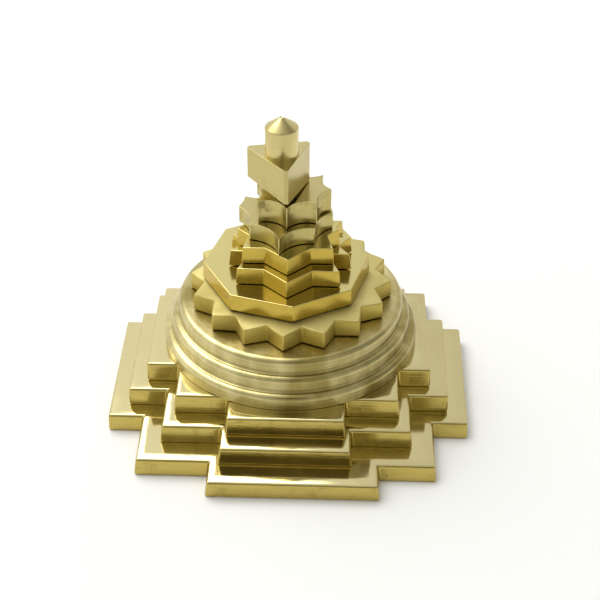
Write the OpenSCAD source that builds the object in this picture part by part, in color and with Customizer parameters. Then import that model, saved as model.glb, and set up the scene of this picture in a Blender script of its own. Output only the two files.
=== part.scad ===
// Meru shri yantra: a stepped brass pyramid of plates threaded on one tie rod.
// Three square tiers with gates carry a turned ring of three girdles. Two petal plates,
// four star plates and a triangular prism are stacked on it, and the bindu on the very
// top is the cap nut that holds the stack together.
// Millimetres. +Z is up, -Y is the front, and the origin is the middle of the underside.

/* [Lowest tier] */
// Height of the lowest tier
lower_h = 4.3; // [4:0.1:7]
// Half width of its square
lower_half = 31; // [28:0.5:33]
// Half width of its front and back gates
lower_gate = 17.7; // [15.5:0.1:20]
// Half width of its side gates
lower_flank = 17.2; // [15.5:0.1:20]
// Reach of its side gates from the middle
lower_side = 38; // [36:0.5:42]
// Reach of its front and back gates from the middle
lower_front = 37; // [36:0.5:42]
// How far its front and back gates lie to the right of the middle
lower_shift = 1.7; // [-2:0.1:2]

/* [Middle tier] */
// Height of the middle tier
middle_h = 4.4; // [3:0.1:7]
// Half width of its square
middle_half = 26; // [24:0.5:28]
// Half width of its front and back gates
middle_gate = 13.7; // [13:0.1:15]
// Half width of its side gates
middle_flank = 14.2; // [13.5:0.1:15]
// Reach of its side gates from the middle
middle_side = 33.8; // [32:0.1:35.5]
// Reach of its front and back gates from the middle
middle_front = 32.3; // [32:0.1:35.5]
// How far it sits behind the lowest tier's middle
middle_back = 0.5; // [0:0.1:1]

/* [Upper tier] */
// Height of the upper tier
upper_h = 4.5; // [4:0.1:9]
// Half width of its square
upper_half = 23.4; // [21:0.1:23.9]
// Half width of its front and back gates
upper_gate = 12.4; // [11:0.1:12.9]
// Half width of its side gates
upper_flank = 13.1; // [12:0.1:13.4]
// Reach of its side gates from the middle
upper_side = 30; // [28.5:0.5:31.5]
// Reach of its front and back gates from the middle
upper_front = 30; // [28.5:0.1:30.2]
// How far it sits behind the lowest tier's middle
upper_back = 2.2; // [0:0.1:2.4]
// How much less its right gate reaches at the back corner than at the front corner
upper_skew = 2.2; // [0:0.1:3]

/* [Girdle ring] */
// Diameter of the lowest girdle
ring_d = 54.1; // [53:0.1:56]
// How far it sits behind the lowest tier's middle
ring_back = 2; // [0:0.1:3]
// Height of each of the three girdles
girdle_h = 3.4; // [2.5:0.1:5]
// How much smaller in radius each girdle is than the one below
girdle_step = 1.6; // [1:0.1:1.9]
// Rounding of each girdle's upper edge
girdle_round = 1.5; // [0.5:0.1:2]

/* [Sixteen-petal plate] */
// Radius at the petal tips
petal16_tip = 21.5; // [20:0.1:22.5]
// Radius between the petals
petal16_root = 18.5; // [17.9:0.1:19.5]
// Thickness
petal16_t = 3.9; // [2.5:0.1:5]
// How much lower its top is filed at the petal tips
petal16_dub = 0.7; // [0.1:0.1:1.2]
// Radius of its flat middle
petal16_flat = 15.5; // [12:0.1:17.5]
// Turn on the rod
petal16_turn = -2; // [-11:0.1:11]
// How far the figure's middle lies to the right of the rod
petal16_off = 1.8; // [-2:0.1:2]

/* [Eight-petal plate] */
// Radius at the corners
petal8_r = 17.7; // [16.5:0.1:18.2]
// Thickness
petal8_t = 3.4; // [2.5:0.1:5]
// Turn on the rod
petal8_turn = 6.3; // [-22:0.1:22]
// How far the figure's middle lies to the right of the rod
petal8_off = 0.9; // [-2:0.1:2]

/* [First star plate] */
// Distance of the front and back points from the middle
star1_tip = 14.5; // [13:0.1:15.5]
// Half width across the four corners
star1_corner_x = 10.8; // [10:0.1:11.5]
// Distance of the corners' straight sides from the middle
star1_corner_y = 9.9; // [9:0.1:10.5]
// Half width between the notches beside the front point
star1_notch_x = 5.1; // [4.5:0.1:6]
// Half width across the side points
star1_side_x = 12.8; // [12:0.1:13.5]
// Distance of the side points' straight sides from the middle
star1_side_y = 3.4; // [2.5:0.1:4.5]
// Half width between the notches in front of the side points
star1_inner_x = 8; // [7:0.1:9.5]
// Half width between the notches at the sides
star1_waist_x = 10.2; // [9:0.1:11]
// Thickness
star1_t = 3.4; // [2.5:0.1:5]
// Turn on the rod
star1_turn = -1.2; // [-30:0.1:30]
// How far the figure's middle lies to the right of the rod
star1_off = 1.8; // [-2:0.1:2]

/* [Second star plate] */
// Distance of the front and back points from the middle
star2_tip = 12; // [10.5:0.1:13]
// Half width across the four corners
star2_corner_x = 9.5; // [8.8:0.1:10]
// Distance of the corners' straight sides from the middle
star2_corner_y = 7.6; // [7:0.1:8.5]
// Half width between the notches beside the front point
star2_notch_x = 4.75; // [4:0.05:5.5]
// Half width across the side points
star2_side_x = 10.8; // [9.8:0.1:11.5]
// Half width between the notches beside the side points
star2_inner_x = 8.4; // [7.5:0.1:8.7]
// Distance of those notches from the middle
star2_inner_y = 2.6; // [2:0.1:4]
// Thickness
star2_t = 3.4; // [2.5:0.1:5]
// Turn on the rod
star2_turn = 1.2; // [-30:0.1:30]
// How far the figure's middle lies to the right of the rod
star2_off = 1.3; // [-1.5:0.1:1.5]

/* [Third star plate] */
// Distance of the front point from the middle
star3_tip = 10.2; // [9.5:0.1:11]
// Half width across the front corners
star3_corner_x = 6.7; // [6.2:0.1:7.2]
// Distance of the front corners forward of the middle
star3_corner_y = 5; // [4.5:0.1:5.5]
// Half width across the side points
star3_side_x = 9.8; // [9.4:0.1:10.5]
// Distance of the side points behind the middle
star3_side_y = 1.4; // [0.5:0.1:2]
// Half width across the back corners
star3_back_x = 9; // [8.5:0.1:9.3]
// Distance of the back corners behind the middle
star3_back_y = 5.4; // [4.8:0.1:6]
// Distance of the back point from the middle
star3_end = 10; // [9:0.1:11]
// Radius of the hollow filed into each side
star3_hollow = 6.7; // [6:0.1:9]
// Thickness
star3_t = 3.5; // [2.5:0.1:5]
// Turn on the rod
star3_turn = -4.8; // [-30:0.1:30]
// How far the figure's middle lies to the right of the rod
star3_off = 0.6; // [-1.5:0.1:1.5]

/* [Fourth star plate] */
// Distance of the front point from the middle
star4_tip = 6.6; // [6.2:0.1:7.2]
// Half width across the front corners
star4_corner_x = 6; // [5.6:0.1:6.3]
// Distance of the front corners forward of the middle
star4_corner_y = 4; // [3.7:0.1:4.3]
// Distance of the right point from the middle
star4_right_x = 8.8; // [8.2:0.1:9.2]
// Distance of the left point from the middle, where less was left standing
star4_left_x = 6.1; // [5.8:0.1:7.4]
// Distance of the side points behind the middle
star4_side_y = 1.2; // [0.8:0.1:1.6]
// Half width across the back corners
star4_back_x = 6.9; // [6.4:0.1:7.1]
// Distance of the back corners behind the middle
star4_back_y = 6.8; // [6:0.1:7.2]
// Distance of the back point from the middle
star4_end = 8.5; // [8:0.1:9]
// Radius of the hollow filed into each side
star4_hollow = 4.4; // [4.2:0.1:6]
// Thickness
star4_t = 4.8; // [3:0.1:7]
// Turn on the rod
star4_turn = -0.8; // [-30:0.1:30]
// How far the figure's middle lies to the right of the rod
star4_off = 1.3; // [-1.3:0.1:1.3]

/* [Trikona prism] */
// Radius of the full triangle's corners
trikona_r = 7.9; // [7.4:0.1:8.4]
// Radius at which the corners are blunted
trikona_blunt = 7.2; // [6.8:0.1:7.3]
// Height
trikona_t = 8.8; // [6:0.1:11]
// Turn on the rod
trikona_turn = 10.7; // [-30:0.1:30]
// How far the figure's middle lies to the right of the rod
trikona_off = -0.2; // [-1:0.1:1]
// Diameter of the seat under the prism
trikona_seat_d = 5; // [4.4:0.1:5.6]
// How much higher the saw cut under the prism lies at its left corner than at its right
trikona_rise = 2; // [0:0.1:2.5]

/* [Bindu] */
// Diameter of the bindu
bindu_d = 6.8; // [6.4:0.1:7.5]
// Height from its seat to the peak
bindu_h = 8.1; // [7:0.1:10]
// Height of its cone
bindu_cone_h = 2.1; // [1:0.1:2.6]
// Diameter of the lathe centre mark on the peak
dimple_d = 0.9; // [0.4:0.1:1.4]
// Depth of that mark
dimple_h = 0.3; // [0.1:0.1:0.6]
// Length of thread inside the bindu
thread_len = 4.5; // [3.5:0.1:5]
// Free depth past the rod's end
thread_room = 0.3; // [0.2:0.1:0.6]
// Outer diameter of the washer in the bindu's foot
bindu_washer_d = 5; // [4.4:0.1:5.4]
// Thickness of that washer
bindu_washer_t = 0.5; // [0.3:0.1:0.8]

/* [Rod and fasteners] */
// Diameter of the tie rod
rod_d = 3; // [2.5:0.1:3.2]
// How far the rod stands to the left of the base's middle
rod_left = 1.8; // [0:0.1:2]
// How far it stands behind the base's middle
rod_back = 2.6; // [0:0.1:3]
// Radial clearance of the plates on the rod
rod_gap = 0.08; // [0.05:0.01:0.1]
// Radial clearance at the threads
thread_gap = 0.03; // [0.02:0.01:0.06]
// Diameter of the seat turned under each petal and star plate
seat_d = 7; // [5.5:0.1:7.2]
// Height of that seat, which leaves a dark line between the plates
seat_h = 0.4; // [0.2:0.05:0.6]
// How far the hollowed sides of a star are held back, which leaves its points blunt
hollow_back = 0.15; // [0.1:0.05:0.4]
// Diameter of the recess for the nut
recess_d = 10; // [8:0.1:14]
// How far the nut stays above the underside
recess_room = 0.2; // [0.1:0.1:0.5]
// Width of the hexagon nut across its flats
nut_af = 5.5; // [5:0.1:6]
// Height of the nut
nut_t = 1.8; // [1.4:0.1:2]
// Angle of the chamfer on the nut's corners
nut_chamfer = 30; // [15:1:45]
// Outer diameter of the split lock washer
lock_d = 6; // [5.4:0.1:6.4]
// Thickness of the lock washer
lock_t = 0.7; // [0.5:0.05:0.8]
// Width of its split
lock_split = 0.6; // [0.3:0.1:1]
// Outer diameter of the flat washer
flat_d = 7; // [6:0.1:7.8]
// Thickness of the flat washer
flat_t = 0.5; // [0.4:0.05:0.6]
// Diameter of the dowel pins
dowel_d = 3; // [2:0.1:4]
// Distance of each dowel pin from the middle
dowel_x = 15; // [12:0.5:18]
// How deep the dowels go into the lowest tier and into the ring
dowel_in = 2.4; // [1.5:0.1:2.6]
// Clearance round the dowels and at their ends
dowel_gap = 0.02; // [0.02:0.01:0.05]

/* [Hidden] */
$fn = 96;

cast_brass = "#C8B256";
turned_brass = "#BDAC66";
steel = "#A9ABAE";
petals = 16;
girdles = 3;
cut = 1;

// Levels, from the underside up
middle_z = lower_h;
upper_z = middle_z + middle_h;
ring_z = upper_z + upper_h;
petal16_z = ring_z + girdles * girdle_h;
petal8_z = petal16_z + seat_h + petal16_t;
star1_z = petal8_z + seat_h + petal8_t;
star2_z = star1_z + seat_h + star1_t;
star3_z = star2_z + seat_h + star2_t;
star4_z = star3_z + seat_h + star3_t;
trikona_z = star4_z + seat_h + star4_t;
bindu_z = trikona_z + seat_h + trikona_t;

// The rod runs from the nut in the recess to the end of the bindu's thread
rod_at = [-rod_left, rod_back];
rod_bottom = recess_room;
rod_top = bindu_z + thread_len;
plate_hole_d = rod_d + 2 * rod_gap;
thread_hole_d = rod_d + 2 * thread_gap;
lock_z = recess_room + nut_t;
flat_z = lock_z + lock_t;
recess_h = flat_z + flat_t;
dowel_bottom = middle_z - dowel_in;
dowel_top = ring_z + dowel_in;

// Straight hole along Z at a point of the plan
module hole(at, d, low, high) {
    translate([at.x, at.y, low]) cylinder(d = d, h = high - low);
}

// Holes through a base piece for the rod and the two dowel pins
module base_holes(low, high, dowel_low, dowel_high) {
    hole(rod_at, plate_hole_d, low - cut, high + cut);
    for (side = [-1, 1]) {
        hole([side * dowel_x, 0], dowel_d + 2 * dowel_gap, dowel_low, dowel_high);
    }
}

// Outline of a tier: a square with a gate in the middle of each side. The front and back gates
// have their own half width and reach, and so do the side gates.
module tier_figure(half, gate, front, flank, side, shift = 0, skew = 0) {
    square(2 * half, center = true);
    translate([shift, 0]) square([2 * gate, 2 * front], center = true);
    polygon([[-side, -flank], [side, -flank], [side - skew, flank], [-side, flank]]);
}

module lower_tier() {
    color(cast_brass) difference() {
        linear_extrude(lower_h)
            tier_figure(lower_half, lower_gate, lower_front, lower_flank, lower_side, lower_shift);
        base_holes(0, middle_z, dowel_bottom - dowel_gap, middle_z + cut);
        hole(rod_at, recess_d, -cut, recess_h);
    }
}

module middle_tier() {
    color(cast_brass) difference() {
        translate([0, middle_back, middle_z]) linear_extrude(middle_h)
            tier_figure(middle_half, middle_gate, middle_front, middle_flank, middle_side);
        base_holes(middle_z, upper_z, middle_z - cut, upper_z + cut);
    }
}

module upper_tier() {
    color(cast_brass) difference() {
        translate([0, upper_back, upper_z]) linear_extrude(upper_h)
            tier_figure(upper_half, upper_gate, upper_front, upper_flank, upper_side, skew = upper_skew);
        base_holes(upper_z, ring_z, upper_z - cut, ring_z + cut);
    }
}

// Half section of one girdle, round at its upper edge
module girdle_section(r) {
    square([r - girdle_round, girdle_h]);
    square([r, girdle_h - girdle_round]);
    translate([r - girdle_round, girdle_h - girdle_round]) circle(girdle_round);
}

module girdle_ring() {
    color(turned_brass) difference() {
        translate([0, ring_back, ring_z]) rotate_extrude() for (i = [0 : girdles - 1]) {
            translate([0, i * girdle_h]) girdle_section(ring_d / 2 - i * girdle_step);
        }
        base_holes(ring_z, petal16_z, ring_z - cut, dowel_top + dowel_gap);
    }
}

// Wedge that an oblique saw cut takes off under a figure, from nothing at its right corner
module saw_wedge(half, rise) {
    rotate([90, 0, 0]) linear_extrude(4 * half, center = true) polygon([
        [half, 0], [-half, rise], [-half - cut, rise], [-half - cut, -cut], [half, -cut]
    ]);
}

// Plate on the rod, standing on a low turned seat. Its figure is the first child, and a second
// child is taken off the figure.
module plate(z, t, turn, off, seat) {
    translate([rod_at.x, rod_at.y, z]) rotate(turn) difference() {
        union() {
            translate([off, 0, seat_h]) difference() {
                linear_extrude(t) children(0);
                if ($children > 1) children(1);
            }
            cylinder(d = seat, h = seat_h + t);
        }
        hole([0, 0], plate_hole_d, -cut, seat_h + t + cut);
    }
}

// Points of a half outline, mirrored to the left side
function whole(right) = concat(right, [for (i = [len(right) - 2 : -1 : 1]) [-right[i].x, right[i].y]]);

// Points of a quarter outline from the front to the side, mirrored to the back
function to_back(quarter) = concat(quarter, [for (i = [len(quarter) - 1 : -1 : 0])
    if (quarter[i].y != 0) [quarter[i].x, -quarter[i].y]]);

// Point at a radius, at an angle from the front
function around(r, angle) = [r * sin(angle), -r * cos(angle)];

module sixteen_petal_figure() {
    half_step = 180 / petals;
    polygon([for (i = [0 : 2 * petals - 1])
        around(i % 2 == 0 ? petal16_tip : petal16_root, i * half_step)]);
}

// Ring that the file takes off the top of the sixteen-petal plate, deepest at the petal tips and
// carried on past them at the same slope
module petal16_filing() {
    past = petal16_tip + cut;
    slope = petal16_dub / (petal16_tip - petal16_flat);
    rotate_extrude() polygon([
        [petal16_flat, petal16_t], [past, petal16_t - slope * (past - petal16_flat)],
        [past, petal16_t + cut], [petal16_flat, petal16_t + cut]
    ]);
}

module first_star_figure() {
    polygon(whole(to_back([
        [0, -star1_tip],
        [star1_notch_x, -star1_corner_y],
        [star1_corner_x, -star1_corner_y],
        [star1_inner_x, -star1_side_y],
        [star1_side_x, -star1_side_y],
        [star1_waist_x, 0]
    ])));
}

module second_star_figure() {
    polygon(whole(to_back([
        [0, -star2_tip],
        [star2_notch_x, -star2_corner_y],
        [star2_corner_x, -star2_corner_y],
        [star2_inner_x, -star2_inner_y],
        [star2_side_x, 0]
    ])));
}

// Middle of the round hollow between two neighbouring points
function hollow_middle(p, q, r) =
    let (run = q - p, reach = sqrt(r * r - run * run / 4) + hollow_back)
    (p + q) / 2 + reach * [run.y, -run.x] / norm(run);

// Star whose sides are hollowed between its points
module hollow_star_figure(points, r) {
    difference() {
        polygon(points);
        for (i = [0 : len(points) - 1]) {
            translate(hollow_middle(points[i], points[(i + 1) % len(points)], r)) circle(r);
        }
    }
}

module third_star_figure() {
    hollow_star_figure(whole([
        [0, -star3_tip],
        [star3_corner_x, -star3_corner_y],
        [star3_side_x, star3_side_y],
        [star3_back_x, star3_back_y],
        [0, star3_end]
    ]), star3_hollow);
}

module fourth_star_figure() {
    hollow_star_figure([
        [0, -star4_tip],
        [star4_corner_x, -star4_corner_y],
        [star4_right_x, star4_side_y],
        [star4_back_x, star4_back_y],
        [0, star4_end],
        [-star4_back_x, star4_back_y],
        [-star4_left_x, star4_side_y],
        [-star4_corner_x, -star4_corner_y]
    ], star4_hollow);
}

module trikona_figure() {
    intersection() {
        rotate(-90) circle(trikona_r, $fn = 3);
        circle(trikona_blunt);
    }
}

module sixteen_petal_plate() {
    color(cast_brass) plate(petal16_z, petal16_t, petal16_turn, petal16_off, seat_d) {
        sixteen_petal_figure();
        petal16_filing();
    }
}

module eight_petal_plate() {
    color(cast_brass)
        plate(petal8_z, petal8_t, petal8_turn, petal8_off, seat_d) circle(petal8_r, $fn = 8);
}

module first_star_plate() {
    color(cast_brass) plate(star1_z, star1_t, star1_turn, star1_off, seat_d) first_star_figure();
}

module second_star_plate() {
    color(cast_brass) plate(star2_z, star2_t, star2_turn, star2_off, seat_d) second_star_figure();
}

module third_star_plate() {
    color(cast_brass) plate(star3_z, star3_t, star3_turn, star3_off, seat_d) third_star_figure();
}

module fourth_star_plate() {
    color(cast_brass) plate(star4_z, star4_t, star4_turn, star4_off, seat_d) fourth_star_figure();
}

module trikona_prism() {
    color(cast_brass) plate(trikona_z, trikona_t, trikona_turn, trikona_off, trikona_seat_d) {
        trikona_figure();
        saw_wedge(trikona_blunt * cos(30), trikona_rise);
    }
}

// Flat ring, for the washers
module washer(z, d, t) {
    difference() {
        hole(rod_at, d, z, z + t);
        hole(rod_at, plate_hole_d, z - cut, z + t + cut);
    }
}

module bindu_washer() {
    color(turned_brass) washer(bindu_z, bindu_washer_d, bindu_washer_t);
}

module bindu_cap_nut() {
    color(turned_brass) difference() {
        translate([rod_at.x, rod_at.y, bindu_z]) rotate_extrude() polygon([
            [0, 0],
            [bindu_d / 2, 0],
            [bindu_d / 2, bindu_h - bindu_cone_h],
            [dimple_d / 2, bindu_h],
            [0, bindu_h - dimple_h]
        ]);
        hole(rod_at, thread_hole_d, bindu_z - cut, rod_top + thread_room);
        hole(rod_at, bindu_washer_d + 2 * rod_gap, bindu_z - cut, bindu_z + bindu_washer_t);
    }
}

module tie_rod() {
    color(turned_brass) hole(rod_at, rod_d, rod_bottom, rod_top);
}

module rod_nut() {
    nut_d = nut_af / cos(30);
    color(steel) difference() {
        translate([rod_at.x, rod_at.y, recess_room]) intersection() {
            cylinder(d = nut_d, h = nut_t, $fn = 6);
            cylinder(d1 = nut_af, d2 = nut_af + 2 * nut_t / tan(nut_chamfer), h = nut_t);
        }
        hole(rod_at, thread_hole_d, 0, lock_z + cut);
    }
}

module lock_washer() {
    color(steel) difference() {
        washer(lock_z, lock_d, lock_t);
        translate([rod_at.x, rod_at.y - lock_split / 2, lock_z - cut])
            cube([lock_d, lock_split, lock_t + 2 * cut]);
    }
}

module flat_washer() {
    color(steel) washer(flat_z, flat_d, flat_t);
}

module dowel_pins() {
    color(steel) for (side = [-1, 1]) {
        hole([side * dowel_x, 0], dowel_d, dowel_bottom, dowel_top);
    }
}

lower_tier();
middle_tier();
upper_tier();
girdle_ring();
sixteen_petal_plate();
eight_petal_plate();
first_star_plate();
second_star_plate();
third_star_plate();
fourth_star_plate();
trikona_prism();
bindu_washer();
bindu_cap_nut();
tie_rod();
rod_nut();
lock_washer();
flat_washer();
dowel_pins();
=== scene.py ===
# %% [markdown]
# A meru shri yantra in brass.
# The real object is a stepped pyramid worked in brass: three square tiers with gates, a turned ring,
# petal and star plates, a three-sided prism and a turned point on top, all threaded on one rod.
# Its solids are made already and come in as a fixed frame, which is never moved. This lesson makes
# what the eye sees in the same places: eased edges, lathe marks, worn brass, and light to show them.

# %% Load the fixed frame
import math

import bmesh
import bpy
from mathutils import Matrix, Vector


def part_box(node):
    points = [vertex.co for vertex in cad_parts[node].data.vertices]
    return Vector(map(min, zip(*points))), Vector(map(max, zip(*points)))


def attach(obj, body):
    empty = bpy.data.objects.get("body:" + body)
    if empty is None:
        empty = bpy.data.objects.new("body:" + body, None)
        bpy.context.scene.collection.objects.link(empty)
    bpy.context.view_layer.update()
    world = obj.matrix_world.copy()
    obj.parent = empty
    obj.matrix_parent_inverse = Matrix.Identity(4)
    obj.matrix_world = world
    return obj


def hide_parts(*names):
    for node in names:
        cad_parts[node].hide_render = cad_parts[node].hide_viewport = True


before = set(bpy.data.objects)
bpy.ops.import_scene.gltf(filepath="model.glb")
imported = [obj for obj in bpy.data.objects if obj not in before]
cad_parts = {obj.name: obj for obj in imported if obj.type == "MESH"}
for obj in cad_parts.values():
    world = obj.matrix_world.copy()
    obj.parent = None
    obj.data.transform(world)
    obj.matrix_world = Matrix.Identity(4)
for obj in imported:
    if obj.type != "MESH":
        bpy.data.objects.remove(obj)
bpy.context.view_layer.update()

MM = 0.001
UM = 0.001 * MM

# %% [markdown]
# Three small tools come before anything is made. Operators act on all that is selected, and the frame
# comes in selected, so every step starts by letting go of everything. Directions are given as a
# surveyor gives them, so far round from the front and so far up. And each node of the frame is found
# by its lowest and its highest corner.

# %% Working tools
def let_go():
    """Leaves edit mode and deselects everything."""
    if bpy.context.object and bpy.context.object.mode != "OBJECT":
        bpy.ops.object.mode_set(mode="OBJECT")
    bpy.ops.object.select_all(action="DESELECT")


def direction(azimuth, elevation):
    """Points from the object to a place this far round to the right of the front and this far up."""
    return Vector((
        math.sin(azimuth) * math.cos(elevation),
        -math.cos(azimuth) * math.cos(elevation),
        math.sin(elevation),
    ))


def corners(node):
    """The lowest and the highest corner of a node of the frame."""
    return [Vector(corner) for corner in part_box(node)]


print("straight in front:", direction(0, 0))

# %% [markdown]
# The camera stands where the photographer stood: a little more than 300 mm away, 35 degrees up.
# A wide lens would spread the tiers, so the focal length matters as much as the angle. Both can be
# found from the object's own straight edges. The lens axis falls a little left of and above the
# middle of the picture, and a small shift says so.

# %% Camera
TARGET = Vector((0, 0, 25 * MM))
DISTANCE = 321 * MM
ELEVATION = math.radians(35.4)
AZIMUTH = math.radians(2.12)
PICTURE_PIXELS = 600
FOCAL_PIXELS = 1515.2
LENS_AXIS_PIXEL = (290.3, 292.0)
SENSOR_MM = 36

let_go()
away = direction(AZIMUTH, ELEVATION)
bpy.ops.object.camera_add(
    location=TARGET + DISTANCE * away, rotation=away.to_track_quat("Z", "Y").to_euler()
)
camera = bpy.context.object
camera.name = "photo_camera"
camera.data.sensor_width = SENSOR_MM
camera.data.lens = FOCAL_PIXELS / PICTURE_PIXELS * SENSOR_MM
camera.data.shift_x = 0.5 - LENS_AXIS_PIXEL[0] / PICTURE_PIXELS
camera.data.shift_y = LENS_AXIS_PIXEL[1] / PICTURE_PIXELS - 0.5
bpy.context.scene.camera = camera
print("lens in mm:", round(camera.data.lens, 1))

# %% [markdown]
# Before the materials come a few more tools. Colours are written as sRGB hex values, but shaders reckon
# in linear light, so one function turns the first into the second, by the curve that the sRGB standard
# gives. Another adds a node, sets it and links it in one call, so that a material reads as a list of
# what it is made of. The whole object is bare metal, so all its materials share one start.

# %% Colour and node tools
def linear(hex_colour):
    """Turns an sRGB hex value such as E2D59E into the linear colour that shaders use."""
    channels = [int(hex_colour[start:start + 2], 16) / 255 for start in (0, 2, 4)]
    return (*[
        value / 12.92 if value <= 0.04045 else ((value + 0.055) / 1.055) ** 2.4 for value in channels
    ], 1.0)


def add(tree, kind, links, **settings):
    """Adds one node. Links fill its inputs, by name or number, with a socket or a plain value."""
    made = tree.nodes.new(kind)
    for name, value in settings.items():
        setattr(made, name, value)
    for name, value in links.items():
        if isinstance(value, bpy.types.NodeSocket):
            tree.links.new(value, made.inputs[name])
        else:
            made.inputs[name].default_value = value
    return made


# a Mix node has a set of sockets for each kind of value, so those for colours go by number
SHARE, FROM_COLOUR, TO_COLOUR = 0, 6, 7
MIXED = 2


def per_mm(size_mm):
    """The texture scale that gives a feature of this real size on coordinates in metres."""
    return 1 / (size_mm * MM)


def bare_metal(name):
    """Starts a metal: the material, its node tree, its shader and its texture coordinates."""
    material = bpy.data.materials.new(name)
    material.use_nodes = True
    tree = material.node_tree
    shader = tree.nodes["Principled BSDF"]
    shader.inputs["Metallic"].default_value = 1.0
    return material, tree, shader, add(tree, "ShaderNodeTexCoord", {})


print("pale brass in linear light:", [round(value, 3) for value in linear("E2D59E")])

# %% [markdown]
# Where the buffing wheel went, and where shade is painted. The wheel reaches level faces easily and
# upright ones badly. How far a face's normal points up or down tells them apart: one share is 1 on a
# tread, the other is 1 on a riser, and their product is largest in between, on a rounded edge. The
# steep share also gives the sides a deeper, darker colour, which is painted shade.

# %% Level and steep faces
STEEP_BELOW = 0.55
LEVEL_ABOVE = 0.95


def level_and_steep(tree, place):
    """Two shares between 0 and 1: how level a face is, and how steep."""
    facing = add(tree, "ShaderNodeSeparateXYZ", {0: place.outputs["Normal"]})
    upright = add(tree, "ShaderNodeMath", {0: facing.outputs["Z"]}, operation="ABSOLUTE")
    level = add(tree, "ShaderNodeMapRange", {
        "Value": upright.outputs[0], "From Min": STEEP_BELOW, "From Max": LEVEL_ABOVE,
    }, interpolation_type="SMOOTHSTEP")
    steep = add(tree, "ShaderNodeMath", {0: 1.0, 1: level.outputs[0]}, operation="SUBTRACT")
    return level.outputs[0], steep.outputs[0]


print("a face is steep below", STEEP_BELOW, "and level above", LEVEL_ABOVE)

# %% [markdown]
# Casting pits. Where gas was caught in the metal, a filed face shows small round pits. A Voronoi
# texture scatters points through the metal, one to a cell, and a random few of them get a size. On the
# tiers that leaves about one pit to a square centimetre, and far fewer on the plates, which are sheet.
# The wheel has closed the pits on the level faces, so only the steep ones show them.

# %% Casting pits
# the radius and the sloping wall of a pit are shares of a cell
PIT_CELL_MM = 1.6
PIT_RADIUS = 0.11
PIT_WALL = 0.05


def casting_pits(tree, place, steep, share):
    """How deep the pits are at each place, from 0 to 1, where this share of the cells has one."""
    cells = add(tree, "ShaderNodeTexVoronoi", {
        "Vector": place.outputs["Object"], "Scale": per_mm(PIT_CELL_MM), "Randomness": 1.0,
    })
    chance = add(tree, "ShaderNodeSeparateXYZ", {0: cells.outputs["Color"]})
    radius = add(tree, "ShaderNodeMapRange", {
        "Value": chance.outputs["X"], "From Min": 1 - share, "From Max": 1.0, "To Max": PIT_RADIUS,
    })
    inside = add(tree, "ShaderNodeMath", {
        0: radius.outputs[0], 1: cells.outputs["Distance"],
    }, operation="SUBTRACT")
    shape = add(tree, "ShaderNodeMapRange", {
        "Value": inside.outputs[0], "From Min": 0.0, "From Max": PIT_WALL,
    })
    pit = add(tree, "ShaderNodeMath", {0: shape.outputs[0], 1: steep}, operation="MULTIPLY")
    return pit.outputs[0]


print("pits are up to", round(2 * PIT_RADIUS * PIT_CELL_MM, 2), "mm across")

# %% [markdown]
# Marks of work and wear, and of painted reflection. The tiers are sand cast, filed flat and buffed.
# The plates are sawn from sheet and then filed and polished, some better than others. Hands leave
# blotches, the file leaves streaks along the sides, and dark stains with speckled edges lie on the
# sides, partly tarnish and partly painted dark reflection. Each mark is a noise pattern of its own
# real size, and all these finishes share them.

# %% Marks of work and wear, and painted reflection
BLOTCH_MM = 9
# long in X and Y alike, and close together in height
STREAK_MM = (8, 8, 0.25)
STAIN_AND_REFLECTION_MM = 4


def brass_marks(tree, place, pits):
    """The marks on a piece by name, each a share between 0 and 1."""
    level, steep = level_and_steep(tree, place)
    blotch = add(tree, "ShaderNodeTexNoise", {
        "Vector": place.outputs["Object"], "Scale": per_mm(BLOTCH_MM), "Detail": 4.0, "Roughness": 0.6,
    })
    along = add(tree, "ShaderNodeMapping", {
        "Vector": place.outputs["Object"], "Scale": [per_mm(size) for size in STREAK_MM],
    })
    streak = add(tree, "ShaderNodeTexNoise", {
        "Vector": along.outputs[0], "Scale": 1.0, "Detail": 3.0, "Roughness": 0.65,
    })
    tarnish_and_reflection = add(tree, "ShaderNodeTexNoise", {
        "Vector": place.outputs["Object"], "Scale": per_mm(STAIN_AND_REFLECTION_MM), "Detail": 8.0, "Roughness": 0.7,
    })
    return {
        "level": level, "steep": steep, "pit": casting_pits(tree, place, steep, pits),
        "blotch": blotch.outputs[0], "streak": streak.outputs[0], "tarnish_and_reflection": tarnish_and_reflection.outputs[0],
    }


print("marks in mm: blotches", BLOTCH_MM, "streaks", STREAK_MM, "stains_and_reflections", STAIN_AND_REFLECTION_MM)

# %% [markdown]
# The colour of the brass. The treads get a pale pair of colours and the sides a deeper, darker pair,
# which is painted shade. The sides also get brown stains, partly tarnish and partly painted dark
# reflection, and dark pits. Each face runs between two colours: by the blotches on a tread, by the
# streaks on a side.

# %% Brass colour
# the brown of the stains on the sides: partly tarnish, partly painted dark reflection
TARNISH_AND_DARK_REFLECTION = "4F4118"
# where the noise turns from clean brass to a full stain of tarnish and painted dark reflection
STAIN_AND_REFLECTION_STARTS, STAIN_AND_REFLECTION_FULL = 0.52, 0.66
PIT_SHADE = "5A4718"


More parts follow.
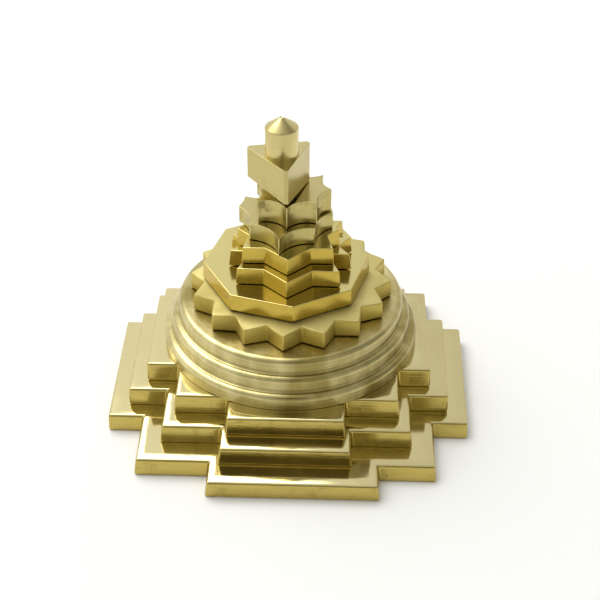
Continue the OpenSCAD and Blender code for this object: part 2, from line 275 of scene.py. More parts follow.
def brass_colour(tree, marks, tread, side, stain_and_reflection):
    """The colour from a pale pair for the treads and a deeper pair for the sides, which is painted
    shade, with stains of tarnish and painted dark reflection this strong.
    """
    tread_tone = add(tree, "ShaderNodeMix", {
        SHARE: marks["blotch"], FROM_COLOUR: linear(tread[0]), TO_COLOUR: linear(tread[1]),
    }, data_type="RGBA")
    # the sides get a deeper, darker copy of the brass colour, which is painted shade
    side_tone = add(tree, "ShaderNodeMix", {
        SHARE: marks["streak"], FROM_COLOUR: linear(side[0]), TO_COLOUR: linear(side[1]),
    }, data_type="RGBA")
    tone = add(tree, "ShaderNodeMix", {
        SHARE: marks["level"],
        FROM_COLOUR: side_tone.outputs[MIXED], TO_COLOUR: tread_tone.outputs[MIXED],
    }, data_type="RGBA")
    # stains only on the sides, partly tarnish and partly painted dark reflection
    stains_and_reflections = add(tree, "ShaderNodeMapRange", {
        "Value": marks["tarnish_and_reflection"], "From Min": STAIN_AND_REFLECTION_STARTS, "From Max": STAIN_AND_REFLECTION_FULL, "To Max": stain_and_reflection,
    })
    side_stains_and_reflections = add(tree, "ShaderNodeMath", {
        0: stains_and_reflections.outputs[0], 1: marks["steep"],
    }, operation="MULTIPLY")
    with_stains_and_reflections = add(tree, "ShaderNodeMix", {
        SHARE: side_stains_and_reflections.outputs[0], FROM_COLOUR: tone.outputs[MIXED], TO_COLOUR: linear(TARNISH_AND_DARK_REFLECTION),
    }, data_type="RGBA")
    pitted = add(tree, "ShaderNodeMix", {
        SHARE: marks["pit"], FROM_COLOUR: with_stains_and_reflections.outputs[MIXED], TO_COLOUR: linear(PIT_SHADE),
    }, data_type="RGBA")
    return pitted.outputs[MIXED]


print("tarnish:", TARNISH_AND_DARK_REFLECTION, "pits:", PIT_SHADE)

# %% [markdown]
# How rough it is. Treads and sides have a roughness each. Hands have rubbed some spots brighter and
# left others duller, and rounded edges, which face neither up nor outward, are scratched the most.

# %% Brass roughness
# where the blotches turn from rubbed to dulled, and how many times as rough that makes them
BLOTCH_STARTS, BLOTCH_FULL = 0.35, 0.7
RUBBED, DULLED = 0.8, 1.35
EDGE_SCRATCHES = 0.9


def brass_roughness(tree, marks, tread_rough, side_rough):
    """The roughness of treads and sides, changed by the blotches, with scratches on the edges."""
    finish = add(tree, "ShaderNodeMapRange", {
        "Value": marks["level"], "To Min": side_rough, "To Max": tread_rough,
    })
    handling = add(tree, "ShaderNodeMapRange", {
        "Value": marks["blotch"], "From Min": BLOTCH_STARTS, "From Max": BLOTCH_FULL,
        "To Min": RUBBED, "To Max": DULLED,
    })
    even = add(tree, "ShaderNodeMath", {
        0: finish.outputs[0], 1: handling.outputs[0],
    }, operation="MULTIPLY")
    edge = add(tree, "ShaderNodeMath", {0: marks["level"], 1: marks["steep"]}, operation="MULTIPLY")
    rough = add(tree, "ShaderNodeMath", {
        0: edge.outputs[0], 1: EDGE_SCRATCHES, 2: even.outputs[0],
    }, operation="MULTIPLY_ADD")
    return rough.outputs[0]


print("blotches are", RUBBED, "to", DULLED, "times as rough")

# %% [markdown]
# Its relief. Buffed brass is mirror-like but never quite flat, so reflections swim a little. The slow
# waves of the wheel come first, then the grain of the file on the sides, then the pits, each a Bump
# node on top of the one before.

# %% Brass relief
WAVE_MM = 6
PIT_DEPTH_MM = 0.08


def brass_relief(tree, place, marks, wave_um, grain_um):
    """The normal of a surface with waves and grain this high and with its pits."""
    wave = add(tree, "ShaderNodeTexNoise", {
        "Vector": place.outputs["Object"], "Scale": per_mm(WAVE_MM), "Detail": 1.0,
    })
    waved = add(tree, "ShaderNodeBump", {
        "Strength": 1.0, "Distance": wave_um * UM, "Height": wave.outputs[0],
    })
    filed = add(tree, "ShaderNodeMath", {0: marks["steep"], 1: marks["streak"]}, operation="MULTIPLY")
    grained = add(tree, "ShaderNodeBump", {
        "Strength": 1.0, "Distance": grain_um * UM, "Height": filed.outputs[0],
        "Normal": waved.outputs[0],
    })
    pitted = add(tree, "ShaderNodeBump", {
        "Strength": 1.0, "Distance": PIT_DEPTH_MM * MM, "Height": marks["pit"],
        "Normal": grained.outputs[0],
    }, invert=True)
    return pitted.outputs[0]


print("waves of", WAVE_MM, "mm, pits", PIT_DEPTH_MM, "mm deep")

# %% [markdown]
# Polished brass. One function puts colour, roughness and relief together, and five finishes come from
# it. The numbers say how each piece was worked: a roughness for treads and one for sides, the height of
# waves and grain in thousandths of a millimetre, the share of cells that hold a pit, and the strength
# of the stains, which are partly tarnish and partly painted dark reflection.

# %% Polished brass
def polished_brass(name, tread, side, tread_rough, side_rough, wave_um, grain_um, pits, stain_and_reflection):
    """Brass with one finish on its level faces and another on its sides, whose deeper colour is painted
    shade.
    """
    material, tree, shader, place = bare_metal(name)
    marks = brass_marks(tree, place, pits)
    tree.links.new(brass_colour(tree, marks, tread, side, stain_and_reflection), shader.inputs["Base Color"])
    tree.links.new(brass_roughness(tree, marks, tread_rough, side_rough), shader.inputs["Roughness"])
    tree.links.new(brass_relief(tree, place, marks, wave_um, grain_um), shader.inputs["Normal"])
    return material


# the petals were only filed: a pale satin, even duller on top than on the sides
petal_brass = polished_brass(
    "sheet_brass_filed", tread=("D2C788", "C0B370"), side=("D4C16C", "BBA755"),
    tread_rough=0.58, side_rough=0.48, wave_um=50, grain_um=12, pits=0.03, stain_and_reflection=0.2,
)
# the octagon and the larger stars are bright, so their sides mirror the plate below, softly
plate_brass = polished_brass(
    "sheet_brass_polished", tread=("DFD292", "CFC17B"), side=("CDB455", "BBA045"),
    tread_rough=0.15, side_rough=0.24, wave_um=40, grain_um=5, pits=0.02, stain_and_reflection=0.1,
)
# the smaller stars have aged, with strong brown stains on their sides, partly tarnish and partly
# painted dark reflection
aged_brass = polished_brass(
    "sheet_brass_aged", tread=("CFC28A", "BBAC70"), side=("C6B97A", "AC9E60"),
    tread_rough=0.20, side_rough=0.24, wave_um=40, grain_um=8, pits=0.06, stain_and_reflection=0.7,
)
# the prism is handled most and stays clean
prism_brass = polished_brass(
    "sheet_brass_handled", tread=("D6CA93", "C4B67C"), side=("C6B87B", "B1A267"),
    tread_rough=0.18, side_rough=0.22, wave_um=40, grain_um=8, pits=0.04, stain_and_reflection=0.15,
)
# the tiers are the brightest: a tread and the riser behind it mirror each other
tier_brass = polished_brass(
    "cast_brass_buffed", tread=("E1D6A1", "D4C692"), side=("CBB86A", "B39E52"),
    tread_rough=0.11, side_rough=0.15, wave_um=50, grain_um=18, pits=0.22, stain_and_reflection=0.3,
)
print("materials:", [brass.name for brass in (
    petal_brass, plate_brass, aged_brass, prism_brass, tier_brass,
)])

# %% [markdown]
# Turned brass. The ring and the point come off a lathe, whose tool leaves fine rings round the axis.
# They are drawn on the distance from the axis and the height, so they follow every curve of the
# profile. The finish is satin: a strip of fine paper was held against the turning work. Such fine
# grooves smear a reflection across themselves, which the shader calls anisotropy. The colour runs
# between a light and a dark brass in bands that run up and down: painted reflections of lighter and
# darker parts of the room, on top of some tarnish where hands and cloths went over the ring.

# %% Turned brass
# real tool marks are finer, but marks of this size still show in the picture
TOOL_MARK_MM = 0.3
MARK_STARTS, MARK_FULL = 0.3, 0.7
# how many times as rough the grooves and the ridges are
GROOVE, RIDGE = 0.8, 1.3
# a quarter turn, from along the grooves to across them
ACROSS_GROOVES = 0.25
# the bands of painted reflection: narrow round the ring and long up and down it
REFLECTION_BAND_MM = (8, 8, 30)
REFLECTION_BAND_STARTS, REFLECTION_BAND_FULL = 0.36, 0.66


def turned_brass(name, axis, bright, dark_reflection, rough, smear, mark_um):
    """Lathe-turned brass with fine rings of this depth round an upright axis at this place, and
    painted reflections in upright bands from a bright to a dark colour.
    """
    material, tree, shader, place = bare_metal(name)
    shader.inputs["Anisotropic"].default_value = smear
    shader.inputs["Anisotropic Rotation"].default_value = ACROSS_GROOVES
    round_axis = add(tree, "ShaderNodeTangent", {}, direction_type="RADIAL", axis="Z")
    tree.links.new(round_axis.outputs[0], shader.inputs["Tangent"])

    # tool marks, on the distance from the axis and the height
    centred = add(tree, "ShaderNodeMapping", {
        "Vector": place.outputs["Object"], "Location": (-axis[0], -axis[1], 0),
    })
    split = add(tree, "ShaderNodeSeparateXYZ", {0: centred.outputs[0]})
    flat = add(tree, "ShaderNodeCombineXYZ", {"X": split.outputs["X"], "Y": split.outputs["Y"]})
    radius = add(tree, "ShaderNodeVectorMath", {0: flat.outputs[0]}, operation="LENGTH")
    profile = add(tree, "ShaderNodeCombineXYZ", {"X": radius.outputs["Value"], "Z": split.outputs["Z"]})
    marks = add(tree, "ShaderNodeTexNoise", {
        "Vector": profile.outputs[0], "Scale": per_mm(TOOL_MARK_MM), "Detail": 2.0, "Roughness": 0.7,
    })
    cut = add(tree, "ShaderNodeBump", {
        "Strength": 1.0, "Distance": mark_um * UM, "Height": marks.outputs[0],
    })
    tree.links.new(cut.outputs[0], shader.inputs["Normal"])
    satin = add(tree, "ShaderNodeMapRange", {
        "Value": marks.outputs[0], "From Min": MARK_STARTS, "From Max": MARK_FULL,
        "To Min": rough * GROOVE, "To Max": rough * RIDGE,
    })
    tree.links.new(satin.outputs[0], shader.inputs["Roughness"])

    # painted reflections, with some tarnish, in bands that run up and down
    upright_reflection_space = add(tree, "ShaderNodeMapping", {
        "Vector": place.outputs["Object"], "Scale": [per_mm(size) for size in REFLECTION_BAND_MM],
    })
    painted_reflection_bands = add(tree, "ShaderNodeTexNoise", {
        "Vector": upright_reflection_space.outputs[0], "Scale": 1.0, "Detail": 3.0, "Roughness": 0.55,
    })
    reflection_share = add(tree, "ShaderNodeMapRange", {
        "Value": painted_reflection_bands.outputs[0], "From Min": REFLECTION_BAND_STARTS, "From Max": REFLECTION_BAND_FULL,
    })
    tone = add(tree, "ShaderNodeMix", {
        SHARE: reflection_share.outputs[0], FROM_COLOUR: linear(bright), TO_COLOUR: linear(dark_reflection),
    }, data_type="RGBA")
    tree.links.new(tone.outputs[MIXED], shader.inputs["Base Color"])
    return material


rod_low, rod_high = corners("tie_rod")
rod_axis = (rod_low + rod_high) / 2
ring_low, ring_high = corners("girdle_ring")
ring_axis = (ring_low + ring_high) / 2
bindu_low, bindu_high = corners("bindu_cap_nut")
bindu_axis = (bindu_low + bindu_high) / 2
ring_brass = turned_brass(
    "turned_brass_satin", ring_axis, bright="DBCF98", dark_reflection="A19257", rough=0.28, smear=0.6, mark_um=3,
)
bindu_brass = turned_brass(
    "turned_brass_bright", bindu_axis, bright="DCCE92", dark_reflection="C2B276", rough=0.24, smear=0.7,
    mark_um=1.5,
)
rod_brass = turned_brass(
    "turned_brass_rod", rod_axis, bright="D8C27A", dark_reflection="BFA65A", rough=0.3, smear=0.3, mark_um=4,
)
print("lathe axes, X in mm:", [round(axis.x / MM, 2) for axis in (ring_axis, bindu_axis, rod_axis)])

# %% [markdown]
# Zinc-plated steel. The nut, its washers and the pins are bought, bright zinc on steel, a cool grey
# that is slightly mottled. They keep their solid shapes from the frame, because those are already
# right, and only get this finish. The bindu's washer keeps its shape too, but it is turned brass.

# %% Zinc-plated steel
CRYSTAL_MM = 0.8
BOUGHT_STEEL = ("rod_nut", "lock_washer", "flat_washer", "dowel_pins")

zinc_steel, zinc_tree, zinc_shader, zinc_place = bare_metal("steel_zinc_plated")
zinc_mottle = add(zinc_tree, "ShaderNodeTexNoise", {
    "Vector": zinc_place.outputs["Object"], "Scale": per_mm(CRYSTAL_MM), "Detail": 4.0,
})
zinc_tone = add(zinc_tree, "ShaderNodeMix", {
    SHARE: zinc_mottle.outputs[0], FROM_COLOUR: linear("C9CCCE"), TO_COLOUR: linear("A9ABA8"),
}, data_type="RGBA")
zinc_tree.links.new(zinc_tone.outputs[MIXED], zinc_shader.inputs["Base Color"])
zinc_rough = add(zinc_tree, "ShaderNodeMapRange", {
    "Value": zinc_mottle.outputs[0], "To Min": 0.25, "To Max": 0.45,
})
zinc_tree.links.new(zinc_rough.outputs[0], zinc_shader.inputs["Roughness"])
for node in BOUGHT_STEEL:
    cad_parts[node].material_slots[0].material = zinc_steel
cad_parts["bindu_washer"].material_slots[0].material = rod_brass
print("finished in place:", BOUGHT_STEEL, "and bindu_washer")

# %% [markdown]
# Sawn pieces start from a blank. The frame holds each tier and plate as loose triangles, so a copy is
# merged and its flat faces are made whole again. A fresh outline could be drawn from a circle or a
# cube, but the copy is exact, and the work can go into what a saw doesn't give: the edges.

# %% Blanks
MERGE = 0.001 * MM
FLAT = math.radians(0.5)


def only(piece):
    """Deselects everything, then leaves this piece alone selected and active."""
    let_go()
    piece.select_set(True)
    bpy.context.view_layer.objects.active = piece


def blank(node, name):
    """A merged copy of a node of the frame, with whole faces instead of triangles."""
    piece = bpy.data.objects.new(name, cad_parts[node].data.copy())
    bpy.context.collection.objects.link(piece)
    only(piece)
    bpy.ops.object.mode_set(mode="EDIT")
    bpy.ops.mesh.select_all(action="SELECT")
    bpy.ops.mesh.remove_doubles(threshold=MERGE)
    bpy.ops.mesh.dissolve_limited(angle_limit=FLAT)
    bpy.ops.object.mode_set(mode="OBJECT")
    return piece


print("points closer than", MERGE / MM, "mm are merged")

# %% [markdown]
# By hand, faces and edges would be clicked on. A script selects them by a rule instead: a level face,
# a point on the rim, an edge that is a real corner. A face counts as level when its normal points
# nearly straight up or down, and as a wall when it hardly does.

# %% Picking by rule
LEVEL_FACE = 0.9
WALL_FACE = 0.5
SHARP = math.radians(25)


def pick(piece, kind, wanted):
    """In edit mode, selects just the vertices, edges or faces for which wanted is true."""
    only(piece)
    bpy.ops.object.mode_set(mode="EDIT")
    bpy.ops.mesh.select_mode(type=kind)
    bpy.ops.mesh.select_all(action="DESELECT")
    mesh = bmesh.from_edit_mesh(piece.data)
    group = {"VERT": mesh.verts, "EDGE": mesh.edges, "FACE": mesh.faces}[kind]
    chosen = [element for element in group if wanted(element)]
    for element in chosen:
        element.select_set(True)
    mesh.select_flush_mode()
    bmesh.update_edit_mesh(piece.data)
    return len(chosen)


def reach(point):
    """How far a point stands from the rod's axis."""
    return math.hypot(point.x - rod_axis.x, point.y - rod_axis.y)


def is_corner(edge):
    """Whether an edge is a real corner, with its two faces well turned from each other."""
    return len(edge.link_faces) == 2 and edge.calc_face_angle() > SHARP


print("an edge is a corner above", round(math.degrees(SHARP)), "degrees")

# %% [markdown]
# Two more jobs come back. Walls that were filed by hand or drawn from sand lean in a little, so their
# upper points are drawn in. And in the end every piece is shaded, with its flat faces kept flat, gets
# its material, and is tied to the body that carries it, and the node that it stands for is hidden.

# %% Leaning walls and finishing
SMOOTH_BELOW = math.radians(40)


def lean_walls(piece, wanted, amount):
    """Draws the wanted upper points in from the two walls below them, each by the wall's amount."""
    only(piece)
    bpy.ops.object.mode_set(mode="EDIT")
    mesh = bmesh.from_edit_mesh(piece.data)
    mesh.normal_update()
    steps = {}
    for vert in filter(wanted, mesh.verts):
        walls = [face for face in vert.link_faces if abs(face.normal.z) < WALL_FACE]
        if len(walls) == 2:
            pull = sum((amount(wall) * wall.normal for wall in walls), Vector())
            steps[vert] = pull / (1 + walls[0].normal.dot(walls[1].normal))
    for vert, step in steps.items():
        vert.co -= step
    bmesh.update_edit_mesh(piece.data)
    return len(steps)


def finish_piece(piece, body, nodes, material):
    """Shades a piece, gives it its material, ties it to its body and hides its nodes."""
    only(piece)
    piece.data.materials.clear()
    piece.data.materials.append(material)
    bpy.ops.object.shade_smooth_by_angle(angle=SMOOTH_BELOW)
    weighted = piece.modifiers.new("flat_faces_stay_flat", "WEIGHTED_NORMAL")
    weighted.keep_sharp = True
    bpy.ops.object.modifier_apply(modifier=weighted.name)
    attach(piece, body)
    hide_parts(*nodes)
    print(piece.name, "faces:", len(piece.data.polygons))


print("shading is smooth below", round(math.degrees(SMOOTH_BELOW)), "degrees")

# %% [markdown]
# The three tiers of the bhupura. Each is a square slab with a gate standing out on every side.
# A buffing wheel dubs the treads over: they fall away towards their edges, most on the lowest tier,
# and that is what bends the reflections there. The risers of the square lean back by some six degrees,
# as a pattern must to come out of its sand, while the gates' ends were filed upright. The top is inset,
# its outer rim is let down by less than half a millimetre and drawn in, and every outer edge is rounded.

# %% Tiers
# how wide the dubbing is on each tier, and how far it falls
DUBBING = {
    "lower_tier": (2.4 * MM, 0.45 * MM),
    "middle_tier": (2.5 * MM, 0.4 * MM),
    "upper_tier": (2.0 * MM, 0.2 * MM),
}
RISER_LEAN = 0.45 * MM
GATE_LEAN = 0.03 * MM
# a wall further out than this share of the half width is the end of a gate
GATE_SHARE = 0.9
TIER_EDGE = 0.5 * MM
# nearer to the middle than this there are only holes, which stay as they are
INSIDE = 20 * MM

for node, (dub_width, dub_drop) in DUBBING.items():
    tier = blank(node, node + "_buffed")
    low_corner, high_corner = corners(node)
    centre = (low_corner + high_corner) / 2
    gate_end = GATE_SHARE * min(high_corner.x - centre.x, high_corner.y - centre.y)
    top = high_corner.z
    pick(tier, "FACE", lambda face: (
        face.normal.z > LEVEL_FACE and abs(face.calc_center_median().z - top) < MERGE
    ))
    bpy.ops.mesh.inset(thickness=dub_width)
    rim = pick(tier, "VERT", lambda vert: (
        abs(vert.co.z - top) < MERGE and vert.co.to_2d().length > INSIDE
        and any(abs(edge.other_vert(vert).co.z - top) > MERGE for edge in vert.link_edges)
    ))
    bpy.ops.transform.translate(value=(0, 0, -dub_drop))
    leant = lean_walls(
        tier,
        lambda vert: abs(vert.co.z - top + dub_drop) < MERGE and vert.co.to_2d().length > INSIDE,
        lambda wall: (
            GATE_LEAN if (wall.calc_center_median() - centre).dot(wall.normal) > gate_end
            else RISER_LEAN
        ),
    )
    edges = pick(tier, "EDGE", lambda edge: (
        is_corner(edge) and min(vert.co.to_2d().length for vert in edge.verts) > INSIDE
    ))
    bpy.ops.mesh.bevel(offset=TIER_EDGE, offset_type="OFFSET", segments=4, affect="EDGES")
    print(node, "rim points:", rim, "drawn in:", leant, "rounded edges:", edges)
    finish_piece(tier, "base", [node], tier_brass)

# %% [markdown]
# The girdle ring is turned from one blank. It could be spun from a drawn profile, but a turner thinks
# in steps: face the blank, cut in for the next girdle, leave its height standing, and round each
# shoulder. So a cylinder is inset and extruded twice, the shoulders are bevelled round, and so are
# the corners between the girdles, because no turning tool has a perfectly sharp nose.

# %% Girdle ring
GIRDLES = 3
GIRDLE_STEP = 1.6 * MM
SHOULDER = 1.2 * MM
TOOL_NOSE = 0.35 * MM
FOOT_EASE = 0.25 * MM
RING_SIDES = 192

girdle_height = (ring_high.z - ring_low.z) / GIRDLES
ring_radius = (ring_high.x - ring_low.x) / 2
let_go()
bpy.ops.mesh.primitive_cylinder_add(
    vertices=RING_SIDES, radius=ring_radius, depth=girdle_height,
    location=(ring_axis.x, ring_axis.y, ring_low.z + girdle_height / 2),
)
ring = bpy.context.object
ring.name = "girdle_ring_turned"
bpy.ops.object.transform_apply(location=True, rotation=True, scale=True)
for girdle in range(1, GIRDLES):
    girdle_top = ring_low.z + girdle * girdle_height
    pick(ring, "FACE", lambda face: (
        face.normal.z > LEVEL_FACE and face.calc_center_median().z > girdle_top - MERGE
    ))
    bpy.ops.mesh.inset(thickness=GIRDLE_STEP)
    bpy.ops.mesh.extrude_region_move(TRANSFORM_OT_translate={"value": (0, 0, girdle_height)})
shoulders = pick(ring, "EDGE", lambda edge: (
    is_corner(edge) and edge.calc_face_angle_signed() > 0
    and all(vert.co.z > ring_low.z + MERGE for vert in edge.verts)
))
bpy.ops.mesh.bevel(offset=SHOULDER, offset_type="OFFSET", segments=8, affect="EDGES")
coves = pick(ring, "EDGE", lambda edge: is_corner(edge) and edge.calc_face_angle_signed() < 0)
bpy.ops.mesh.bevel(offset=TOOL_NOSE, offset_type="OFFSET", segments=4, affect="EDGES")
pick(ring, "EDGE", lambda edge: (
    is_corner(edge) and all(vert.co.z < ring_low.z + MERGE for vert in edge.verts)
))
bpy.ops.mesh.bevel(offset=FOOT_EASE, offset_type="OFFSET", segments=2, affect="EDGES")
print("shoulder edges:", shoulders, "cove edges:", coves)

# %% [markdown]
# The ring is bored for the rod, which runs a little off its middle, and drilled from below for
# the two pins. The caps are inset to the size of the bore, moved over the rod, and bridged. The pin
# holes are blind, so they are cut with two short cylinders by a Boolean. The pins stand on the X axis.

# %% Ring bore and pin holes
ROD_CLEARANCE = 0.08 * MM
PIN_CLEARANCE = 0.02 * MM
PIN_SIDES = 32

rod_radius = (rod_high.x - rod_low.x) / 2
bore = rod_radius + ROD_CLEARANCE
for side in (1, -1):
    pick(ring, "FACE", lambda face: face.normal.z * side > LEVEL_FACE and len(face.verts) == RING_SIDES)
    mesh = bmesh.from_edit_mesh(ring.data)
    cap = [face for face in mesh.faces if face.select][0]
    cap_radius = (cap.verts[0].co.to_2d() - ring_axis.to_2d()).length
    bpy.ops.mesh.inset(thickness=cap_radius - bore)
    bpy.ops.transform.translate(value=(rod_axis.x - ring_axis.x, rod_axis.y - ring_axis.y, 0))
    bpy.ops.mesh.delete(type="ONLY_FACE")
pick(ring, "EDGE", lambda edge: edge.is_boundary)
bpy.ops.mesh.bridge_edge_loops()
bpy.ops.mesh.select_all(action="SELECT")
bpy.ops.mesh.normals_make_consistent(inside=False)

pin_low, pin_high = corners("dowel_pins")
pin_radius = (pin_high.y - pin_low.y) / 2
for pin_x in (pin_low.x + pin_radius, pin_high.x - pin_radius):
    let_go()
    bpy.ops.mesh.primitive_cylinder_add(
        vertices=PIN_SIDES, radius=pin_radius + PIN_CLEARANCE,
        depth=2 * (pin_high.z - ring_low.z) + PIN_CLEARANCE, location=(pin_x, 0, ring_low.z),
    )
    drill = bpy.context.object
    only(ring)
    hole = ring.modifiers.new("pin_hole", "BOOLEAN")
    hole.operation = "DIFFERENCE"
    hole.object = drill
    bpy.ops.object.modifier_apply(modifier=hole.name)
    bpy.data.objects.remove(drill)
finish_piece(ring, "base", ["girdle_ring"], ring_brass)

# %% [markdown]
# The petal and star plates and the trikona prism are sawn from thick sheet, so only their edges need
# the hand. The sixteen-petal plate was filed softest, the stars above it are crisper. Each plate
# turns on the rod by itself, so each rides on its own body, and a thin dark seam shows below it. The
# frame's seats hold the plates further apart than that, so every plate's top comes up to the next
# plate's seam, and the next plate's seat is made as much shorter. A file held by hand takes a little
# more off the top of an edge than off its foot, so the sides of the four lowest plates lean in by up to
# three degrees. The narrow star points leave room for only a slight rounding, so overlaps are clamped.

# %% Plates
# node, body, rounding of the edges and lean of the sides in mm, finish
PLATES = (
    ("sixteen_petal_plate", "sixteen_petals", 0.40, 0.10, petal_brass),
    ("eight_petal_plate", "eight_petals", 0.18, 0.18, plate_brass),
    ("first_star_plate", "first_star", 0.16, 0.18, plate_brass),
    ("second_star_plate", "second_star", 0.16, 0.18, plate_brass),
    ("third_star_plate", "third_star", 0.14, 0.0, aged_brass),
    ("fourth_star_plate", "fourth_star", 0.14, 0.0, aged_brass),
    ("trikona_prism", "trikona", 0.12, 0.0, prism_brass),
)
# no seat reaches further from the rod's axis than this
SEAT_REACH = 3.8 * MM
SEAM = 0.18 * MM
lowest_plate = PLATES[0][0]
highest_plate = PLATES[-1][0]

for node, body, edge_mm, lean_mm, brass in PLATES:
    plate = blank(node, node + "_filed")
    seat, top = [corner[2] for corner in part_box(node)]
    half_way = (seat + top) / 2
    under = min(vert.co.z for vert in plate.data.vertices if reach(vert.co) > SEAT_REACH)
    lift = under - seat - SEAM
    if node != highest_plate:
        pick(plate, "VERT", lambda vert: vert.co.z > half_way)
        bpy.ops.transform.translate(value=(0, 0, lift))
    if node == lowest_plate:
        pick(plate, "VERT", lambda vert: reach(vert.co) > SEAT_REACH and vert.co.z < under + MERGE)
        bpy.ops.transform.translate(value=(0, 0, -lift))
    else:
        pick(plate, "VERT", lambda vert: vert.co.z < seat + MERGE)
        bpy.ops.transform.translate(value=(0, 0, lift))
    lean_walls(
        plate,
        lambda vert: vert.co.z > half_way and reach(vert.co) > SEAT_REACH,
        lambda wall: lean_mm * MM,
    )
    edges = pick(plate, "EDGE", lambda edge: (
        is_corner(edge) and min(reach(vert.co) for vert in edge.verts) > SEAT_REACH
    ))
    bpy.ops.mesh.bevel(
        offset=edge_mm * MM, offset_type="OFFSET", segments=3, affect="EDGES",
        loop_slide=False, clamp_overlap=True,
    )
    # a clamped rounding can leave points on top of each other
    bpy.ops.mesh.select_all(action="SELECT")
    bpy.ops.mesh.remove_doubles(threshold=MERGE)
    print(node, "filed edges:", edges, "lift in mm:", round(lift / MM, 2))
    finish_piece(plate, body, [node], brass)

# %% [markdown]
# The bindu is the point of the yantra and the nut that holds the stack: a short cylinder with a low
# cone and the small mark of the lathe centre on its tip. It is turned as the ring is: a cylinder's top
# is inset to the size of the mark and raised to make the cone, and the mark is sunk into its tip.

# %% Bindu
BINDU_SIDES = 96
CONE_HEIGHT = 2.1 * MM
MARK_RADIUS = 0.4 * MM
MARK_DEPTH = 0.35 * MM
RIM = 0.15 * MM

bindu_radius = (bindu_high.x - bindu_low.x) / 2
shank = bindu_high.z - bindu_low.z - CONE_HEIGHT
let_go()
bpy.ops.mesh.primitive_cylinder_add(
    vertices=BINDU_SIDES, radius=bindu_radius, depth=shank,
    location=(bindu_axis.x, bindu_axis.y, bindu_low.z + shank / 2),
)
bindu = bpy.context.object
bindu.name = "bindu_turned"
bpy.ops.object.transform_apply(location=True, rotation=True, scale=True)
pick(bindu, "FACE", lambda face: face.normal.z > LEVEL_FACE)
bpy.ops.mesh.inset(thickness=bindu_radius - MARK_RADIUS)
bpy.ops.transform.translate(value=(0, 0, CONE_HEIGHT))
bpy.ops.mesh.extrude_region_move(TRANSFORM_OT_translate={"value": (0, 0, -MARK_DEPTH)})
bpy.ops.mesh.merge(type="CENTER")
# the rim where the cone starts is eased, the edge of the mark stays sharp
rim_edges = pick(bindu, "EDGE", lambda edge: (
    is_corner(edge) and edge.calc_face_angle_signed() > 0
    and edge.verts[0].co.z > bindu_low.z + shank - MERGE and reach(edge.verts[0].co) > 2 * MARK_RADIUS
))
bpy.ops.mesh.bevel(offset=RIM, offset_type="OFFSET", segments=3, affect="EDGES")
print("eased edges of the bindu:", rim_edges)

# %% [markdown]
# From below, the bindu is bored in two steps: a shallow one as wide as its washer, and a deeper one for
# the rod's thread. Each is an inset of the face that is left, pushed up into the bindu.

# %% Bindu bore
THREAD_RADIUS = 1.53 * MM
THREAD_DEPTH = 5.0 * MM
WASHER_ROOM = 0.05 * MM

washer_low, washer_high = corners("bindu_washer")
foot = (washer_high.x - washer_low.x) / 2 + WASHER_ROOM
pick(bindu, "FACE", lambda face: face.normal.z < -LEVEL_FACE and len(face.verts) == BINDU_SIDES)
mesh = bmesh.from_edit_mesh(bindu.data)
base_face = [face for face in mesh.faces if face.select][0]
base_radius = (base_face.verts[0].co.to_2d() - bindu_axis.to_2d()).length
bpy.ops.mesh.inset(thickness=base_radius - foot)
bpy.ops.mesh.extrude_region_move(TRANSFORM_OT_translate={"value": (0, 0, washer_high.z - bindu_low.z)})
bpy.ops.mesh.inset(thickness=foot - THREAD_RADIUS)
bpy.ops.mesh.extrude_region_move(TRANSFORM_OT_translate={"value": (0, 0, THREAD_DEPTH)})
finish_piece(bindu, "bindu", ["bindu_cap_nut"], bindu_brass)

# %% [markdown]
# The rod only shows when the bindu is unscrewed, and it is threaded over its whole length. One turn of
# a V thread is three points: crest, root, crest. A plane that loses one of its four points gives them,
# and they are moved to their places.

# %% Thread profile
PITCH = 0.5 * MM
THREAD_CUT = 0.27 * MM

let_go()
bpy.ops.mesh.primitive_plane_add(size=PITCH)
rod = bpy.context.object
rod.name = "tie_rod_threaded"
pick(rod, "VERT", lambda vert: vert.co.y > 0 and vert.co.x < 0)
bpy.ops.mesh.delete(type="VERT")
outline = bmesh.from_edit_mesh(rod.data)
ends = [vert for vert in outline.verts if len(vert.link_edges) == 1]
between = [vert for vert in outline.verts if len(vert.link_edges) == 2]
crest_root_crest = (rod_radius, 0), (rod_radius - THREAD_CUT, PITCH / 2), (rod_radius, PITCH)
for vert, (across, height) in zip((ends[0], between[0], ends[1]), crest_root_crest):
    vert.co = (across, 0, height)
bmesh.update_edit_mesh(rod.data)
print("thread points:", len(ends) + len(between))

# %% [markdown]
# The Screw modifier winds the profile up the whole rod, with a few turns to spare, and both ends are
# cut off flat where the rod ends. Winding can turn a surface inside out, so the normals come last.

# %% Threaded rod
TURN_STEPS = 32
SPARE_TURNS = 2

let_go()
thread = rod.modifiers.new("thread", "SCREW")
thread.axis = "Z"
thread.screw_offset = PITCH
thread.iterations = math.ceil((rod_high.z - rod_low.z) / PITCH) + 2 * SPARE_TURNS
thread.steps = TURN_STEPS
thread.render_steps = TURN_STEPS
thread.use_merge_vertices = True
thread.merge_threshold = MERGE
only(rod)
bpy.ops.object.modifier_apply(modifier=thread.name)
bpy.ops.object.mode_set(mode="EDIT")
bpy.ops.mesh.select_all(action="SELECT")
bpy.ops.transform.translate(value=(rod_axis.x, rod_axis.y, rod_low.z - SPARE_TURNS * PITCH))
bpy.ops.mesh.remove_doubles(threshold=MERGE)
for end, outward in ((rod_low, -1), (rod_high, 1)):
    bpy.ops.mesh.select_all(action="SELECT")
    bpy.ops.mesh.bisect(plane_co=end, plane_no=(0, 0, outward), use_fill=True, clear_outer=True)
bpy.ops.mesh.select_all(action="SELECT")
bpy.ops.mesh.normals_make_consistent(inside=False)
finish_piece(rod, "base", ["tie_rod"], rod_brass)

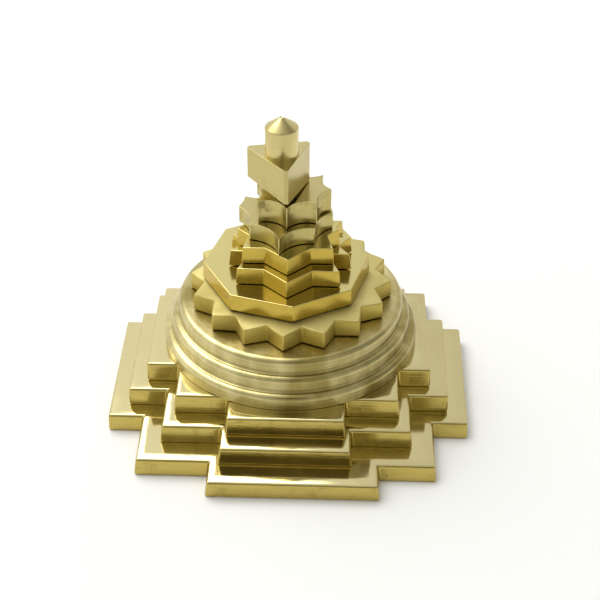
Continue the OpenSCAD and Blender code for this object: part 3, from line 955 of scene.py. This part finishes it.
# %% [markdown]
# The stage. The floor is a plain pale sheet of matt paper, so large that its edge stays out of the
# picture. It isn't part of the object.

# %% Floor
FLOOR_SIZE = 6

let_go()
bpy.ops.mesh.primitive_plane_add(size=FLOOR_SIZE)
floor = bpy.context.object
floor.name = "pale_floor"
floor_paint = bpy.data.materials.new("matt_white_paper")
floor_paint.use_nodes = True
paper = floor_paint.node_tree.nodes["Principled BSDF"]
paper.inputs["Base Color"].default_value = linear("FAFAF8")
paper.inputs["Roughness"].default_value = 0.9
floor.data.materials.append(floor_paint)
print("floor:", floor.name)

# %% [markdown]
# The room. Brass is nearly all reflection, so the room matters more than the lamp. It is white on the
# left and behind, a little greyer behind on the right, mid grey on the right and light grey in front.
# A look into the room has a share to the right, X, and a share to the back, Y, and each tone turns
# softly into the next between two such shares.

# %% Room
TURNS = {
    "to the right": ("X", -0.2, 0.75),
    "away from the back": ("Y", 0.6, 0.1),
    "across the back": ("X", -0.12, 0.12),
    "to the front": ("Y", 0.0, -0.75),
}
room = bpy.data.worlds.new("soft_studio_room")
bpy.context.scene.world = room
room.use_nodes = True
room_tree = room.node_tree
look = add(room_tree, "ShaderNodeTexCoord", {})
look_shares = add(room_tree, "ShaderNodeSeparateXYZ", {0: look.outputs["Generated"]})
turned = {}
for turn, (axis, first, last) in TURNS.items():
    turned[turn] = add(room_tree, "ShaderNodeMapRange", {
        "Value": look_shares.outputs[axis], "From Min": first, "From Max": last,
    }, interpolation_type="SMOOTHSTEP").outputs[0]
shaded = add(room_tree, "ShaderNodeMath", {
    0: turned["to the right"], 1: turned["away from the back"],
}, operation="MULTIPLY")
back_tone = add(room_tree, "ShaderNodeMix", {
    SHARE: turned["across the back"], FROM_COLOUR: linear("FFFFFF"), TO_COLOUR: linear("E0DFDB"),
}, data_type="RGBA")
side_tone = add(room_tree, "ShaderNodeMix", {
    SHARE: shaded.outputs[0], FROM_COLOUR: back_tone.outputs[MIXED], TO_COLOUR: linear("95948F"),
}, data_type="RGBA")
wall_tone = add(room_tree, "ShaderNodeMix", {
    SHARE: turned["to the front"], FROM_COLOUR: side_tone.outputs[MIXED], TO_COLOUR: linear("C4C3BE"),
}, data_type="RGBA")
print("room:", room.name)

# %% [markdown]
# Whoever looks at polished brass also sees themselves in it. So a soft dark figure stands behind the
# camera and a little above it: the upright gates mirror it, and the leaning risers look past it.

# %% Figure in the room
FIGURE_ELEVATION = math.radians(41)
FIGURE_EDGE = math.radians(16)
FIGURE_CORE = math.radians(8)

toward = add(room_tree, "ShaderNodeVectorMath", {
    0: look.outputs["Generated"], 1: direction(AZIMUTH, FIGURE_ELEVATION),
}, operation="DOT_PRODUCT")
figure = add(room_tree, "ShaderNodeMapRange", {
    "Value": toward.outputs["Value"],
    "From Min": math.cos(FIGURE_EDGE), "From Max": math.cos(FIGURE_CORE),
}, interpolation_type="SMOOTHSTEP")
room_tone = add(room_tree, "ShaderNodeMix", {
    SHARE: figure.outputs[0], FROM_COLOUR: wall_tone.outputs[MIXED], TO_COLOUR: linear("5C594F"),
}, data_type="RGBA")
sky = room_tree.nodes["Background"]
room_tree.links.new(room_tone.outputs[MIXED], sky.inputs["Color"])
sky.inputs["Strength"].default_value = 1.0
print("figure, degrees up:", round(math.degrees(FIGURE_ELEVATION)))

# %% [markdown]
# The lamp. One broad soft disk hangs on the left and a little behind, so that the treads shine without
# mirroring it and a soft shadow falls to the right.

# %% Lamp
LAMP_PLACE = Vector((-260 * MM, 240 * MM, 620 * MM))
LAMP_SIZE = 600 * MM
LAMP_WATTS = 2.8

let_go()
bpy.ops.object.light_add(
    type="AREA", location=LAMP_PLACE, rotation=(LAMP_PLACE - TARGET).to_track_quat("Z", "Y").to_euler()
)
lamp = bpy.context.object
lamp.name = "soft_key_lamp"
lamp.data.shape = "DISK"
lamp.data.size = LAMP_SIZE
lamp.data.energy = LAMP_WATTS
bpy.context.scene.view_settings.view_transform = "Standard"
print("lamp distance in mm:", round((LAMP_PLACE - TARGET).length / MM))
